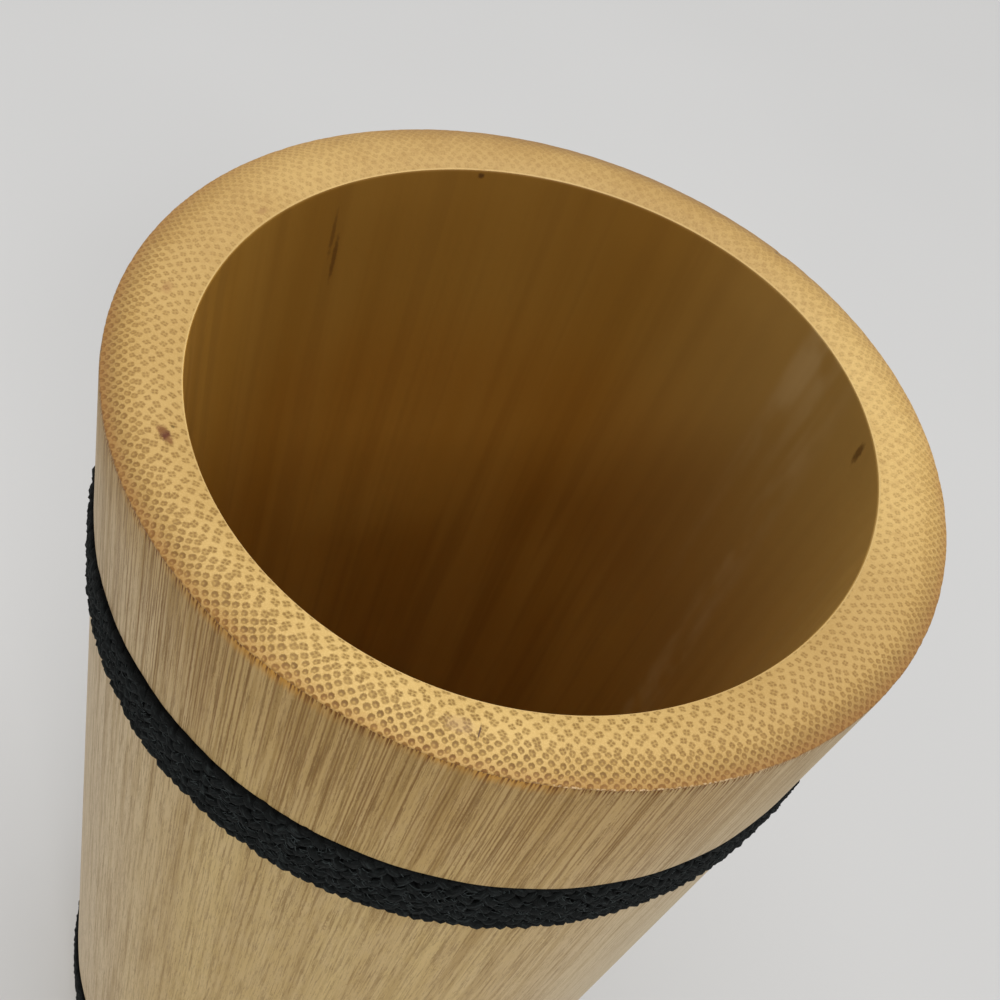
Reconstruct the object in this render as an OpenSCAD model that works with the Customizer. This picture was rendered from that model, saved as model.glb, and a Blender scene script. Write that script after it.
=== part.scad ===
// Bamboo vase: a turned length of culm that keeps its natural diaphragm as the
// floor, with a flat cord laid in a groove near the rim and another near the foot.
// Millimetres, +Z up. The middle of the foot is the origin and -Y is the front.

/* [Culm] */

// Outside diameter at the arris, where the side meets the end grain
rim_d = 100; // [80:1:140]

// How much the outside radius grows from the arris down to the foot
foot_flare = 1.3; // [0:0.1:4]

// Height from the foot to the arris
culm_h = 213; // [150:1:320]

// Thickness of the wall at the rim
wall = 8.3; // [6:0.1:14]

// How far the end grain rises between its two edges
crown = 0.8; // [0.2:0.1:2]

// Softening of the outer edge of the end grain
arris_r = 0.25; // [0.1:0.05:1]

// Softening of the hollow's lip
lip_r = 0.6; // [0.2:0.1:2]

// Softening of the outer edge of the foot
foot_r = 0.9; // [0.3:0.1:3]

/* [Diaphragm] */

// Thickness of the diaphragm in its middle
floor_t = 5.5; // [3:0.5:12]

// How far the diaphragm's upper face rises from its middle to its edge
floor_dish = 1.6; // [0.5:0.1:4]

// Radius where the diaphragm's upper face runs up into the wall
floor_fillet = 5; // [2:0.5:9]

// Depth of the hollow left under the diaphragm
recess_h = 10; // [4:0.5:16]

// Wall that stands round the hollow under the diaphragm
recess_wall = 11.5; // [8:0.5:20]

// Radius where the diaphragm's underside runs down into the wall
recess_fillet = 3; // [1:0.5:6]

/* [Cords] */

// Width of the flat cord
cord_w = 10.3; // [6:0.1:16]

// Thickness of the flat cord
cord_t = 2.4; // [1.8:0.1:4]

// Rows of strands side by side in the cord
cord_rows = 4; // [3:1:6]

// Height of each row over the furrows beside it
row_rise = 0.35; // [0.1:0.05:0.6]

// Depth of the groove that the cord lies in
groove_depth = 1.8; // [1:0.1:3]

// Gap between the groove's upper lip and the cord
lip_gap = 0.3; // [0.1:0.05:1]

// Gap between the groove's lower lip and the cord
sill_gap = 0.1; // [0.05:0.05:0.5]

// Glue line between the groove's bottom and the cord
glue_line = 0.1; // [0.05:0.05:0.3]

// Gap between a cord's two cut ends, at its inner face
end_gap = 0.6; // [0.45:0.05:2]

// From the arris down to the upper groove
rim_to_groove = 24.9; // [12:0.1:50]

// From the foot up to the lower groove
foot_to_groove = 25; // [12:0.1:50]

/* [Hidden] */

$fn = 96;
rim_r = rim_d / 2;
base_r = rim_r + foot_flare;
bore_r = rim_r - wall;
recess_r = base_r - recess_wall;
groove_w = cord_w + lip_gap + sill_gap;
low_z = foot_to_groove;
high_z = culm_h - rim_to_groove - groove_w;
under_z = recess_h;
floor_z = under_z + floor_t;

// The crowned end grain is an arc through the arris and the lip.
crown_r = (wall * wall / 4 + crown * crown) / (2 * crown);
crown_mid = [rim_r - wall / 2, culm_h + crown - crown_r];
crown_half = asin(wall / 2 / crown_r);

// The upper face of the diaphragm is an arc from the axis to its fillet.
dish_x = bore_r - floor_fillet;
dish_r = (dish_x * dish_x + floor_dish * floor_dish) / (2 * floor_dish);
dish_half = asin(dish_x / dish_r);

// Outside radius at a height
function skin_r(z) = base_r - foot_flare * z / culm_h;

// Bottom radius of the groove that starts at a height
function bed_r(z) = skin_r(z + groove_w) - groove_depth;

// Points along an arc, from one angle to another
function arc(mid, r, from, to, n) = [
  for (i = [0:n])
    let (a = from + (to - from) * i / n)
      [mid[0] + r * cos(a), mid[1] + r * sin(a)]
];

// The square-cut groove from its lower lip to its upper one
function groove(z) = [
  [skin_r(z), z],
  [bed_r(z), z],
  [bed_r(z), z + groove_w],
  [skin_r(z + groove_w), z + groove_w]
];

// Up the outside, over the end grain, down the hollow and back under the foot
culm_outline = concat(
  [[0, floor_z], [0, under_z]],
  arc([recess_r - recess_fillet, under_z - recess_fillet], recess_fillet, 90, 0, 5),
  arc([recess_r + foot_r / 2, foot_r / 2], foot_r / 2, 180, 270, 3),
  arc([base_r - foot_r, foot_r], foot_r, 270, 360, 4),
  groove(low_z),
  groove(high_z),
  [[skin_r(culm_h - arris_r), culm_h - arris_r]],
  arc(crown_mid, crown_r, 90 - crown_half * (1 - 2 * arris_r / wall), 90 + crown_half * (1 - 2 * lip_r / wall), 14),
  arc([bore_r + lip_r, culm_h - lip_r / 2], lip_r, 120, 180, 3),
  arc([bore_r - floor_fillet, floor_z + floor_dish + floor_fillet], floor_fillet, 360, 285, 6),
  arc([0, floor_z + dish_r], dish_r, 270 + dish_half, 270 + dish_half / 10, 9)
);

// A flat cord's section, x outwards from its inner face and y up from its lower edge
row_w = (cord_w - cord_t * 0.5) / cord_rows;
row_r = (row_w * row_w / 4 + row_rise * row_rise) / (2 * row_rise);
row_half = asin(row_w / 2 / row_r);
edge_r = cord_t * 0.25;
cord_section = concat(
  arc([edge_r, edge_r], edge_r, 180, 270, 3),
  arc([cord_t - row_rise - edge_r, edge_r], edge_r, 270, 345, 3),
  [
    for (k = [0:cord_rows - 1])
      each arc([cord_t - row_r, edge_r + (k + 0.5) * row_w], row_r, -row_half, row_half, 5)
  ],
  arc([cord_t - row_rise - edge_r, cord_w - edge_r], edge_r, 15, 90, 3),
  arc([edge_r, cord_w - edge_r], edge_r, 90, 180, 3)
);

// One cord, laid once round its groove with its cut ends facing each other behind
module cord(z) {
  inner_r = bed_r(z) + glue_line;
  gap_angle = 2 * asin(end_gap / 2 / inner_r);
  rotate([0, 0, 90 + gap_angle / 2])
    rotate_extrude(angle = 360 - gap_angle)
      translate([inner_r, z + sill_gap])
        polygon(cord_section);
}

// Length of a cord along the middle of its thickness, and the gap between its ends
function cord_len(z) = 2 * PI * (bed_r(z) + glue_line + cord_t / 2) - end_gap;
function end_point(z, s) =
  let (r = bed_r(z) + glue_line, a = 90 + s * asin(end_gap / 2 / r))
    [r * cos(a), r * sin(a)];
echo(upper_cord_length = cord_len(high_z), upper_cord_gap = norm(end_point(high_z, 1) - end_point(high_z, -1)));
echo(lower_cord_length = cord_len(low_z), lower_cord_gap = norm(end_point(low_z, 1) - end_point(low_z, -1)));

// Wall, crowned end grain and grown diaphragm, all one piece of bamboo
module culm() {
  color([0.80, 0.67, 0.42])
    rotate_extrude()
      polygon(culm_outline);
}

// The cord in the groove near the rim
module upper_cord() {
  color([0.12, 0.13, 0.14])
    cord(high_z);
}

// The cord in the groove near the foot
module lower_cord() {
  color([0.16, 0.17, 0.18])
    cord(low_z);
}

culm();
upper_cord();
lower_cord();
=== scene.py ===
"""Bamboo vase: grown culm with a crowned rim and two flat braided cords in grooves."""
import math
from collections import namedtuple

import bpy
import numpy as np
from mathutils import Matrix, Vector


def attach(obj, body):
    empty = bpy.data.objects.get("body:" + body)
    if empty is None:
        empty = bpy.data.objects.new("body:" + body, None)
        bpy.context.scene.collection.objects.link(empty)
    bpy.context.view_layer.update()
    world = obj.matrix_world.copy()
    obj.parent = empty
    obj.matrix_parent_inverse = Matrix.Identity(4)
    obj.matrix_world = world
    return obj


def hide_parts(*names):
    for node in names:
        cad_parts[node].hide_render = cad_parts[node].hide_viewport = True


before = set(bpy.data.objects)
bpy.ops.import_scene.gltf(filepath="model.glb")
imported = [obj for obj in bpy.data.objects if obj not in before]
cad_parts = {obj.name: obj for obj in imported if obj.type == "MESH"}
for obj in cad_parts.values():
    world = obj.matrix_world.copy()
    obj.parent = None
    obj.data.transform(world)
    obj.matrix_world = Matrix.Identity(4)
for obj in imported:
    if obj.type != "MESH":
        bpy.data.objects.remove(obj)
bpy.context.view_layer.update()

MM = 0.001

# Sizes of the vase, in millimetres
RIM_R = 50.0          # outside radius at the arris
FLARE = 1.3           # how much wider the foot is
ARRIS_Z = 213.0       # height of the arris
WALL = 8.3            # wall at the rim
CROWN = 0.8           # rise of the end grain between its edges
ARRIS_ROUND = 0.25    # softening of the end grain's outer edge
LIP_ROUND = 0.45      # softening of the hollow's lip
EDGE_SHIFT = 0.16     # how far the middles of both roundings move to meet the crown
FOOT_ROUND = 0.9      # softening of the foot's outer edge
UNDER_Z = 10.0        # underside of the diaphragm
FLOOR_Z = 15.5        # middle of the diaphragm's upper face
FLOOR_DISH = 1.6      # how far the upper face rises to its edge
FLOOR_FILLET = 5.0    # where the floor runs up into the wall
RECESS_R = 39.8       # hollow under the diaphragm
RECESS_FILLET = 3.0   # where the diaphragm's underside runs down into the wall
RECESS_ROUND = 0.45   # softening of that hollow's lower edge
CORD_W = 10.3         # width of a cord
CORD_T = 2.4          # thickness of the plain band
GROOVE_W = 10.7       # width of a groove
GROOVE_DEPTH = 1.8
SILL_GAP = 0.1        # between a groove's lower lip and its cord
GLUE_LINE = 0.1       # between a groove's bottom and its cord
END_GAP = 0.6         # between a cord's two ends
RIM_TO_GROOVE = 24.9  # from the arris down to the upper groove
LOW_Z = 25.0          # lower groove's lower lip
HIGH_Z = ARRIS_Z - RIM_TO_GROOVE - GROOVE_W    # upper groove's lower lip
BASE_R = RIM_R + FLARE
BORE_R = RIM_R - WALL

# How far the grown culm is from round: two-lobed and three-lobed parts, cosine and sine
OUTSIDE_OVAL = (0.0084, 0.0106, -0.0020, 0.0007)
HOLLOW_OVAL = (-0.0142, 0.0269, -0.0041, 0.0077)

AROUND = 960          # points round the culm
SIDE_STEP = 1.6       # height between rows of points on the side

# Uneven surfaces: waves round the culm, length along it and size, in millimetres
PLANED_WAVES = ((9, 500, 0.05), (31, 700, 0.03), (90, 900, 0.012))
GROWN_WAVES = ((4, 400, 0.25), (13, 300, 0.12), (40, 500, 0.04))
SANDED_WAVES = ((5, 60, 0.05), (60, 9, 0.015))
TORN_REACH = 0.35     # how far from the arris its fibres are torn
TORN_DEPTH = 0.05

# Seeds of the random draws
PLANED_SEED, GROWN_SEED, SANDED_SEED, TORN_SEED = 3, 5, 7, 11
UPPER_CORD_SEED, LOWER_CORD_SEED = 21, 22

# Places of the finishes on the culm
SIDE, END_GRAIN, HOLLOW, UNDER = range(4)


def oval(angle, lobes):
    """Share of the mean radius at an angle."""
    two_c, two_s, three_c, three_s = lobes
    return (1 + two_c * np.cos(2 * angle) + two_s * np.sin(2 * angle)
            + three_c * np.cos(3 * angle) + three_s * np.sin(3 * angle))


def skin_r(z):
    """Mean outside radius at a height."""
    return BASE_R - FLARE * z / ARRIS_Z


def bed_r(z):
    """Mean radius of the bottom of the groove that starts at a height."""
    return skin_r(z + GROOVE_W) - GROOVE_DEPTH


def arc(mid, radius, start, end, steps):
    """Points along an arc from one angle to another, in degrees."""
    turns = [math.radians(a) for a in np.linspace(start, end, steps + 1)]
    return [(mid[0] + radius * math.cos(a), mid[1] + radius * math.sin(a)) for a in turns]


def round_axis(radius, angle, height):
    """Points at a distance from the axis."""
    return np.stack([radius * np.cos(angle), radius * np.sin(angle), height], -1)


def straight(start, end, steps):
    """Points along a line."""
    return [(start[0] + (end[0] - start[0]) * i / steps, start[1] + (end[1] - start[1]) * i / steps)
            for i in range(steps + 1)]


def waves(angle, height, seed, sizes):
    """A smooth wandering of a surface that was grown or planed, in millimetres."""
    draw = np.random.default_rng(seed)
    out = np.zeros(np.broadcast(angle, height).shape)
    for lobes, length, size in sizes:
        for _ in range(3):
            count = lobes + draw.integers(-1, 2) * max(1, lobes // 4)
            out += size / 3 * np.sin(count * angle + draw.uniform(0, 2 * math.pi)
                                     + 2 * math.pi * height / length * draw.uniform(-1, 1))
    return out


def new_piece(name, points, faces, finishes, face_slots=None):
    """A smooth mesh piece from points in millimetres."""
    mesh = bpy.data.meshes.new(name)
    mesh.from_pydata((np.asarray(points) * MM).tolist(), [], faces)
    for finish in finishes:
        mesh.materials.append(finish)
    if face_slots is not None:
        mesh.polygons.foreach_set("material_index", np.asarray(face_slots, dtype=np.int32))
    mesh.polygons.foreach_set("use_smooth", np.full(len(faces), True))
    mesh.update()
    piece = bpy.data.objects.new(name, mesh)
    bpy.context.scene.collection.objects.link(piece)
    return piece


def share_on_rim(r):
    """Share of the hollow's own shape that the end grain takes at a radius."""
    return min(1.0, max(0.0, (RIM_R - r) / WALL))


def share_on_floor(r):
    """The same on the diaphragm's upper face."""
    return min(1.0, r / (BORE_R - FLOOR_FILLET))


def strip(points, inner, finish):
    """Rows of the culm's outline: radius, height, share of the hollow's own shape, and finish."""
    return [(r, z, inner(r) if callable(inner) else inner, finish) for r, z in points]


def foot_rows():
    """From the middle of the underside, round the recess and the sawn ring, to the foot's edge."""
    recess_x = RECESS_R - RECESS_FILLET
    rows = strip(straight((2, UNDER_Z), (recess_x - 1, UNDER_Z), 14), 0.0, UNDER)
    rows += strip(arc((recess_x, UNDER_Z - RECESS_FILLET), RECESS_FILLET, 90, 0, 8), 0.0, UNDER)
    rows += strip(straight((RECESS_R, 6), (RECESS_R, 1), 3), 0.0, UNDER)
    rows += strip(arc((RECESS_R + RECESS_ROUND, RECESS_ROUND), RECESS_ROUND, 180, 270, 4), 0.0, UNDER)
    rows += strip(straight((RECESS_R + 1, 0), (BASE_R - FOOT_ROUND - 0.4, 0), 12), 0.0, UNDER)
    return rows + strip(arc((BASE_R - FOOT_ROUND, FOOT_ROUND), FOOT_ROUND, 270, 360, 7), 0.0, SIDE)


def groove_rows(z):
    """One groove from its lower lip to its upper one, with close points that keep the lips crisp."""
    bed, top = bed_r(z), z + GROOVE_W
    sill = [(skin_r(z) - 0.01, z - 0.03), (skin_r(z) - 0.06, z), (bed + 0.05, z + 0.02), (bed, z + 0.1)]
    lip = [(bed, top - 0.1), (bed + 0.05, top - 0.02),
           (skin_r(top) - 0.06, top), (skin_r(top) - 0.01, top + 0.03)]
    rows = strip(sill, 0.0, SIDE)
    rows += strip(straight((bed, z + 0.8), (bed, z + GROOVE_W - 0.8), 5), 0.0, SIDE)
    return rows + strip(lip, 0.0, SIDE)


def side_rows():
    """Up the outside from the foot, through both grooves, to just below the arris."""
    rows = []
    last = FOOT_ROUND
    for z in (LOW_Z, HIGH_Z):
        low, high = last + 0.6, z - 0.12
        steps = int((z - last) / SIDE_STEP)
        rows += strip(straight((skin_r(low), low), (skin_r(high), high), steps), 0.0, SIDE)
        rows += groove_rows(z)
        last = z + GROOVE_W - 0.4
    top = ARRIS_Z - 0.6
    rows += strip(straight((skin_r(last + 0.6), last + 0.6), (skin_r(top), top), 24), 0.0, SIDE)
    return rows + strip([(skin_r(ARRIS_Z - 0.42), ARRIS_Z - 0.42)], 0.0, SIDE)


def rim_rows():
    """Over the crowned end grain, from the arris to the hollow's lip."""
    crown_r = (WALL ** 2 / 4 + CROWN ** 2) / (2 * CROWN)
    mid = (RIM_R - WALL / 2, ARRIS_Z + CROWN - crown_r)
    half = math.degrees(math.asin(WALL / 2 / crown_r))
    arris_mid = (RIM_R - ARRIS_ROUND, ARRIS_Z - EDGE_SHIFT)
    lip_mid = (BORE_R + LIP_ROUND, ARRIS_Z - LIP_ROUND + EDGE_SHIFT)
    rows = strip(arc(arris_mid, ARRIS_ROUND, 0, 60, 4), share_on_rim, END_GRAIN)
    rows += strip(arc(mid, crown_r, 90 - half * 0.90, 90 + half * 0.86, 52), share_on_rim, END_GRAIN)
    rows += strip(arc(lip_mid, LIP_ROUND, 112, 135, 3), share_on_rim, END_GRAIN)
    return rows + strip(arc(lip_mid, LIP_ROUND, 142, 180, 4), share_on_rim, HOLLOW)


def hollow_rows():
    """Down the hollow's wall and in to the middle of the floor."""
    edge = BORE_R - FLOOR_FILLET
    fillet_z = FLOOR_Z + FLOOR_DISH + FLOOR_FILLET
    floor = [(r, FLOOR_Z + FLOOR_DISH * (r / edge) ** 2) for r in np.linspace(edge - 1.2, 2, 22)]
    rows = strip(straight((BORE_R, ARRIS_Z - 0.8), (BORE_R, fillet_z + 0.6), 120), 1.0, HOLLOW)
    rows += strip(arc((edge, fillet_z), FLOOR_FILLET, 360, 278, 12), 1.0, HOLLOW)
    return rows + strip(floor, share_on_floor, HOLLOW)


# Marks on the end grain: direction in degrees, depth from the arris, width and sink in millimetres
Chip = namedtuple("Chip", "turn depth width sink")
CHIPS = (Chip(turn=64.8, depth=0.6, width=0.6, sink=0.2),
         Chip(turn=121.1, depth=8.6, width=0.5, sink=0.3),
         Chip(turn=-140.2, depth=5.4, width=0.35, sink=0.10),
         Chip(turn=-81.9, depth=3.4, width=0.25, sink=0.12))


def torn_fibres(r, z, grain, side):
    """How far the torn fibre ends draw the surface in along the arris."""
    draw = np.random.default_rng(TORN_SEED)
    near = np.exp(-((r - RIM_R) / TORN_REACH) ** 2) * (grain | (side & (z > ARRIS_Z - 0.5)))
    tear = draw.normal(0, 1, AROUND)
    tear = np.convolve(np.r_[tear[-3:], tear, tear[:3]], np.ones(3) / 3, "same")[3:-3]
    return near * TORN_DEPTH * np.abs(tear)[None, :]


def culm_points(rows, slot):
    """The culm's surface: its outline turned round the axis, with all that makes it uneven."""
    a = (np.arange(AROUND) * 2 * math.pi / AROUND)[None, :]
    r = np.array([row[0] for row in rows])[:, None]
    z = np.array([row[1] for row in rows])[:, None] * np.ones(AROUND)
    share = np.array([row[2] for row in rows])[:, None]
    side, hollow, grain = [(slot == finish)[:, None] for finish in (SIDE, HOLLOW, END_GRAIN)]
    radius = r * ((1 - share) * oval(a, OUTSIDE_OVAL) + share * oval(a, HOLLOW_OVAL))
    # The outside was planed along the fibres, and the hollow is as it grew
    radius += side * waves(a, z, PLANED_SEED, PLANED_WAVES)
    radius += hollow * np.clip((ARRIS_Z - z) / 6, 0, 1) * waves(a, z, GROWN_SEED, GROWN_WAVES)
    z += grain * waves(a, r, SANDED_SEED, SANDED_WAVES)
    radius -= torn_fibres(r, z, grain, side)
    for chip in CHIPS:
        away = (a - math.radians(chip.turn) + math.pi) % (2 * math.pi) - math.pi
        inwards = (RIM_R - chip.depth - r) / chip.width
        z -= grain * np.exp(-((away * r / chip.width) ** 2) - inwards ** 2) * chip.sink
    return round_axis(radius, a, z).reshape(-1, 3)


def culm_faces(slot):
    """Faces between the rows, a fan at each end of the outline, and the finish of each face."""
    count = len(slot)
    i = np.arange(count - 1)[:, None] * AROUND
    j = np.arange(AROUND)[None, :]
    k = (j + 1) % AROUND
    quads = np.stack([i + j, i + k, i + AROUND + k, i + AROUND + j], -1).reshape(-1, 4).tolist()
    under_mid, floor_mid = count * AROUND, count * AROUND + 1
    top = (count - 1) * AROUND
    edges = list(zip(j[0].tolist(), k[0].tolist()))
    under_fan = [[under_mid, q, p] for p, q in edges]
    floor_fan = [[floor_mid, top + p, top + q] for p, q in edges]
    slots = np.repeat(slot[:-1], AROUND).tolist() + [UNDER] * AROUND + [HOLLOW] * AROUND
    return quads + under_fan + floor_fan, slots


def make_culm(finishes):
    rows = foot_rows() + side_rows() + rim_rows() + hollow_rows()
    slot = np.array([row[3] for row in rows])
    faces, slots = culm_faces(slot)
    points = np.vstack([culm_points(rows, slot), [[0, 0, UNDER_Z], [0, 0, FLOOR_Z]]])
    return new_piece("culm_body", points, faces, finishes, slots)


# The cords, in millimetres and degrees
STRANDS = 10          # strands in the flat braid
TURNS = 11            # times a strand crosses and comes back on its way round
LEVELS = 2            # crossings in one change of over and under: over one, under one
STRAND_HALF_W = 0.62
STRAND_HALF_T = 0.48
STRAND_SIDES = 12     # points round a strand
STRAND_STEP = 0.42    # spacing of the rings of points along a strand
STRAND_RIBS = 8       # low ribs that the yarns of a strand make round it
ZIGZAG = 0.955        # how straight a strand runs between the edges: 1 is a plain zigzag
SWAP = 0.22           # how softly a strand changes faces of the braid at an edge
CROSS_LIFT = 0.52     # how far a strand rises and sinks where it crosses another
STAND_OUT = 0.30      # how much fuller the worked braid is than the plain band
EDGE_BULGE = 0.15     # how far the turned edges stand out
EDGE_ROOM = 0.42      # from the middle of an edge strand to the side of the cord
EDGE_FATTER = 0.30    # how much fuller a strand is where it turns at the edge
SLACK = 0.05          # how far each of two slow waves moves a strand from its place
EDGE_REACH = CORD_W / 2 - EDGE_ROOM    # from the middle of the cord to that of an edge strand

# Straight yarns that the strands are braided round; they fill in behind the gaps and take the painted shade
# of the pits
CORES = 7
CORE_HALF_W = 0.72
CORE_HALF_T = 0.22
CORE_SPREAD = 0.86    # share of the braid's reach that they fill
CORE_SINK = 0.6       # how deep they lie, as a share of a strand's rise

# Loose fibres that lie on the outer face
FIBRES = 5200
FIBRE_HALF_W = 0.038
FIBRE_LEAN = 34       # their usual angle to the cord, in degrees
FIBRE_STRAY = 0.35    # how far they stray from it, in radians
FIBRE_RINGS = 4       # pairs of points along a fibre
FIBRE_RISE = 1.6      # tells them from strands in the crown layer

# The upper edge of each cord is pressed into its groove here
TUCK_SIDE = -70       # direction
TUCK_REACH = 48       # how far round that goes
TUCK = 0.75           # how far in it is pressed

# The cords stand prouder on one side, as in a round groove cut into an oval culm
PROUD_SIDE = -108     # direction
PROUD_REACH = 42      # how far round that goes
PROUD_MORE = 0.75
PROUD_LESS = 0.20     # how much flatter the cords lie elsewhere


def degrees_from(angle, direction):
    """How far an angle in radians lies from a direction in degrees, either way round."""
    return (np.degrees(angle) - direction + 180) % 360 - 180


def braid_out(angle):
    """From the groove's bottom out to the middle of the braid, at an angle round the culm."""
    prouder = PROUD_MORE * np.exp(-(degrees_from(angle, PROUD_SIDE) / PROUD_REACH) ** 2)
    return GLUE_LINE + CORD_T / 2 + (STAND_OUT - PROUD_LESS + prouder)


def tucked_in(angle, across):
    """How far the cord's upper edge is pressed into the groove."""
    upper = np.clip((across - 0.35) / 0.65, 0, 1) ** 1.5
    return TUCK * np.exp(-(degrees_from(angle, TUCK_SIDE) / TUCK_REACH) ** 2) * upper


def cord_middle(groove_z):
    """Height of the middle of the cord in a groove."""
    return groove_z + SILL_GAP + CORD_W / 2


def braid_strand(k, groove_z, phase):
    """Middle line of one strand: angle round the culm, place across the cord, and rise over the others."""
    mean = bed_r(groove_z) + GLUE_LINE + CORD_T / 2
    gap = END_GAP / mean
    n = int(2 * math.pi * mean / STRAND_STEP)
    t = np.linspace(0, 1, n)
    angle = math.pi / 2 + gap / 2 + t * (2 * math.pi - gap)
    x = 2 * math.pi * (TURNS * t + k / STRANDS) + phase
    across = np.arcsin(ZIGZAG * np.sin(x)) / math.asin(ZIGZAG)  # -1 lower edge, 1 upper edge
    up = np.tanh(np.cos(x) / SWAP)
    level = (np.arcsin(np.sin(x)) / (math.pi / 2) + 1) / 2 * STRANDS  # whole where strands cross
    lift = np.sin(2 * math.pi * (level + 0.5) / LEVELS) * up
    lift = np.sign(lift) * np.abs(lift) ** 0.7
    return angle, across, lift


def core_strand(k, groove_z):
    """Middle line of one straight yarn inside the braid, in the same terms."""
    angle, across, lift = braid_strand(0, groove_z, 0.0)
    return angle, 0 * across + (2 * k / (CORES - 1) - 1) * CORE_SPREAD, 0 * lift - CORE_SINK


def yarn_slack(draw, t, fewest, most):
    """One slow wave that moves a strand from its place."""
    return SLACK * np.sin(2 * math.pi * (t * draw.integers(fewest, most) + draw.uniform()))


def yarn_fullness(draw, n, sides):
    """Uneven fullness of spun yarn, as a share of the strand's radius."""
    rough = draw.normal(0, 1, (n, sides))
    soft = (rough + np.roll(rough, 1, 0) + np.roll(rough, -1, 0) + np.roll(rough, 1, 1)) / 2
    long_swell = np.interp(np.linspace(0, 1, n), np.linspace(0, 1, n // 9), draw.normal(0, 1, n // 9))
    return 1 + 0.10 * soft + 0.09 * long_swell[:, None]


def strand_line(groove_z, angle, across, lift, slack):
    """Middle line of a strand or core yarn in space."""
    out = (braid_out(angle) + CROSS_LIFT * lift * (1 - 0.25 * across ** 4)
           + EDGE_BULGE * across ** 8 + 0.4 * slack - tucked_in(angle, across))
    radius = bed_r(groove_z) * oval(angle, OUTSIDE_OVAL) + out
    height = cord_middle(groove_z) + EDGE_REACH * across + slack
    return round_axis(radius, angle, height)


def round_line(line, angle, ring, half_w, half_t, fat):
    """Points of a flat tube round a middle line, with its flat side against the culm."""
    ahead = np.gradient(line, axis=0)
    ahead /= np.linalg.norm(ahead, axis=1)[:, None]
    outward = np.stack([np.cos(angle), np.sin(angle), 0 * angle], -1)
    beside = np.cross(ahead, outward)
    beside /= np.linalg.norm(beside, axis=1)[:, None]
    outward = np.cross(beside, ahead)
    section = (beside[:, None, :] * (half_w * np.cos(ring) * fat)[..., None]
               + outward[:, None, :] * (half_t * np.sin(ring) * fat)[..., None])
    return (line[:, None, :] + section).reshape(-1, 3)


def tube_faces(start, n, sides):
    """Faces of a tube of n rings whose points begin at a number, with both ends closed."""
    i = start + np.arange(n - 1)[:, None] * sides
    j = np.arange(sides)[None, :]
    q = (j + 1) % sides
    faces = np.stack([i + j, i + q, i + sides + q, i + sides + j], -1).reshape(-1, 4).tolist()
    faces.append([start + s for s in range(sides)][::-1])
    faces.append([start + (n - 1) * sides + s for s in range(sides)])
    return faces


def make_strand(draw, k, groove_z, phase):
    """One strand or core yarn: points, both sets of surface coordinates, and its count of rings."""
    braided = k < STRANDS
    if braided:
        angle, across, lift = braid_strand(k, groove_z, phase)
        half_w, half_t = STRAND_HALF_W, STRAND_HALF_T
    else:
        angle, across, lift = core_strand(k - STRANDS, groove_z)
        half_w, half_t = CORE_HALF_W, CORE_HALF_T
    n, sides = len(angle), STRAND_SIDES
    ring = np.arange(sides) * 2 * math.pi / sides
    t = np.linspace(0, 1, n)
    slack = yarn_slack(draw, t, 30, 60) + yarn_slack(draw, t, 7, 15)
    line = strand_line(groove_z, angle, across, lift, slack)
    fat = yarn_fullness(draw, n, sides) * (1 + 0.05 * np.cos(STRAND_RIBS * ring))[None, :]
    fat = fat * (1 + braided * EDGE_FATTER * across ** 6)[:, None]
    points = round_line(line, angle, ring, half_w, half_t, fat)
    # Core yarns lie a whole step lower, deep in the painted pit shade.
    rise = CROSS_LIFT * lift[:, None] + half_t * np.sin(ring)[None, :] - (0.0 if braided else 1.0)
    crown = np.stack([rise.ravel() / (CROSS_LIFT + STRAND_HALF_T), np.repeat(across, sides)], -1)
    travel = np.r_[0, np.cumsum(np.linalg.norm(np.diff(line, axis=0), axis=1))]
    along = np.stack([np.repeat(travel, sides), np.tile(ring / (2 * math.pi), n)], -1)
    return points, along, crown, n


def fibre_draws(draw, low, high):
    """One random number for each loose fibre."""
    return draw.uniform(low, high, (FIBRES, 1, 1))


def lying_fibres(draw, groove_z):
    """Short loose fibres on the outer face: points, faces and both sets of surface coordinates."""
    bed = bed_r(groove_z)
    t = np.linspace(-0.5, 0.5, FIBRE_RINGS)[None, :, None]
    heading = np.radians(FIBRE_LEAN) * draw.choice([-1, 1], (FIBRES, 1, 1))
    heading = heading + draw.normal(0, FIBRE_STRAY, (FIBRES, 1, 1))
    length = fibre_draws(draw, 0.5, 1.7)
    bend = fibre_draws(draw, -0.5, 0.5)
    arch = fibre_draws(draw, 0.0, 0.16)
    half_w = FIBRE_HALF_W * np.array([-1, 1])[None, None, :]
    along = t * length * np.cos(heading) - half_w * np.sin(heading)
    over = t * length * np.sin(heading) + bend * t ** 2 + half_w * np.cos(heading)
    angle = fibre_draws(draw, 0, 2 * math.pi) + along / (bed + CORD_T)
    across = np.clip(fibre_draws(draw, -0.97, 0.97) + over / EDGE_REACH, -1.02, 1.02)
    out = (braid_out(angle) + CROSS_LIFT * 0.55 + STRAND_HALF_T * 0.75
           + arch * (1 - 4 * t ** 2) - 0.35 * across ** 8 - tucked_in(angle, across))
    radius = bed * oval(angle, OUTSIDE_OVAL) + out
    height = cord_middle(groove_z) + EDGE_REACH * across
    points = round_axis(radius, angle, height).reshape(-1, 3)
    per_fibre = 2 * FIBRE_RINGS
    first = per_fibre * np.arange(FIBRES)[:, None] + 2 * np.arange(FIBRE_RINGS - 1)[None, :]
    faces = np.stack([first, first + 1, first + 3, first + 2], -1).reshape(-1, 4)
    shade = np.repeat(draw.uniform(0, 1, (FIBRES, 2)), per_fibre, axis=0)
    crown = np.stack([np.full(per_fibre * FIBRES, FIBRE_RISE), across.ravel()], -1)
    return points, faces, shade, crown


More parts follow.
